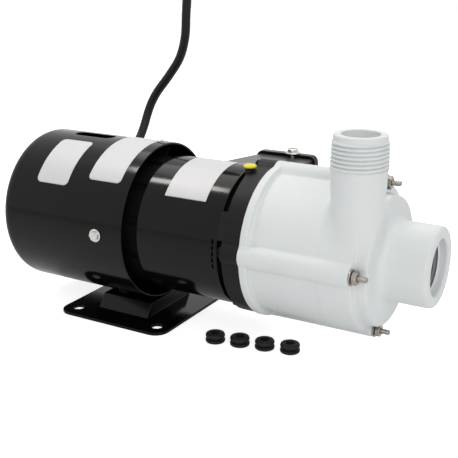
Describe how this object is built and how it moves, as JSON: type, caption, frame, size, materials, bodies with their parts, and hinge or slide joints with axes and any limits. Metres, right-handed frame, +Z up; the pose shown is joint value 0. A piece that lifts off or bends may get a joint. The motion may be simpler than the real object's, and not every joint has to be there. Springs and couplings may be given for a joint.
{
  "type": "magnetic drive pump",
  "caption": "Fan-cooled electric motor on a small base driving a sealed white plastic pump head through magnets, with an axial threaded inlet, an upright threaded outlet and a mains lead.",
  "frame": {"origin": "centre of the base plate's underside", "axes": "+X along the shaft toward the inlet, +Z up along the outlet"},
  "size_m": [0.2883, 0.1513, 0.2621],
  "materials": {
    "black_gloss_enamel": "gloss black enamel on sheet steel",
    "dark_cast_paint": "dark grey paint on cast metal",
    "white_polypropylene": "cool white moulded polypropylene, slightly glossy",
    "stainless_steel": "bright stainless steel",
    "laminated_steel": "dark stacked steel sheets",
    "copper_winding": "lacquered copper wire",
    "cast_aluminium": "bare casting",
    "black_rubber": "matte black moulded rubber",
    "yellow_plastic": "yellow moulded cap",
    "ferrite": "dark sintered magnet",
    "ceramic": "ground white ceramic",
    "carbon_graphite": "machined carbon",
    "grey_nylon": "grey glass-filled nylon"
  },
  "bodies": {
    "pump_body": {"base_plate": "black_gloss_enamel", "foot_screw_1": "stainless_steel", "foot_screw_2": "stainless_steel", "rear_end_bell": "cast_aluminium", "fan_shroud": "black_gloss_enamel", "shroud_screw_1": "stainless_steel", "shroud_screw_2": "stainless_steel", "shroud_screw_3": "stainless_steel", "motor_shell": "black_gloss_enamel", "stator_core": "laminated_steel", "winding_rear": "copper_winding", "winding_front": "copper_winding", "rear_bearing": "stainless_steel", "front_bearing": "stainless_steel", "adapter_bracket": "dark_cast_paint", "casing_bolt_1": "stainless_steel", "casing_bolt_2": "stainless_steel", "casing_bolt_3": "stainless_steel", "casing_bolt_4": "stainless_steel", "casing_washer_1": "stainless_steel", "casing_washer_2": "stainless_steel", "casing_washer_3": "stainless_steel", "casing_washer_4": "stainless_steel", "casing_nut_1": "stainless_steel", "casing_nut_2": "stainless_steel", "casing_nut_3": "stainless_steel", "casing_nut_4": "stainless_steel", "isolation_cup": "grey_nylon", "casing_o_ring": "black_rubber", "thrust_washer_rear": "ceramic", "thrust_washer_front": "ceramic", "spindle": "ceramic", "volute_casing": "white_polypropylene", "wiring_box": "dark_cast_paint", "wiring_box_lid": "black_gloss_enamel", "lid_screw": "stainless_steel", "terminal_block": "grey_nylon", "strain_relief": "black_rubber", "power_cord": "black_rubber", "power_plug": "black_rubber", "grommet_1": "black_rubber", "grommet_2": "black_rubber", "grommet_3": "black_rubber", "grommet_4": "black_rubber"},
    "rotor": {"motor_shaft": "stainless_steel", "rotor_core": "laminated_steel", "cooling_fan": "grey_nylon", "fan_clip": "stainless_steel", "drive_hub": "cast_aluminium", "drive_magnet": "ferrite", "hub_set_screw": "stainless_steel"},
    "impeller_group": {"impeller": "white_polypropylene", "driven_magnet": "ferrite", "impeller_bushing": "carbon_graphite"},
    "oil_cap": {"oil_cap": "yellow_plastic"}
  },
  "joints": [
    {"name": "rotor_spin", "type": "hinge", "parent": "pump_body", "child": "rotor", "pos_m": [0.008, 0, 0.064], "axis": [1, 0, 0], "continuous": true},
    {"name": "impeller_spin", "type": "hinge", "parent": "pump_body", "child": "impeller_group", "pos_m": [0.1092, 0, 0.064], "axis": [1, 0, 0], "continuous": true},
    {"name": "oil_cap_pull", "type": "slide", "parent": "pump_body", "child": "oil_cap", "axis": [0, 0, 1], "range_m": [0, 0.012]}
  ],
  "couplings": [
    {"joint": "impeller_spin", "follows": "rotor_spin", "ratio": 1}
  ]
}
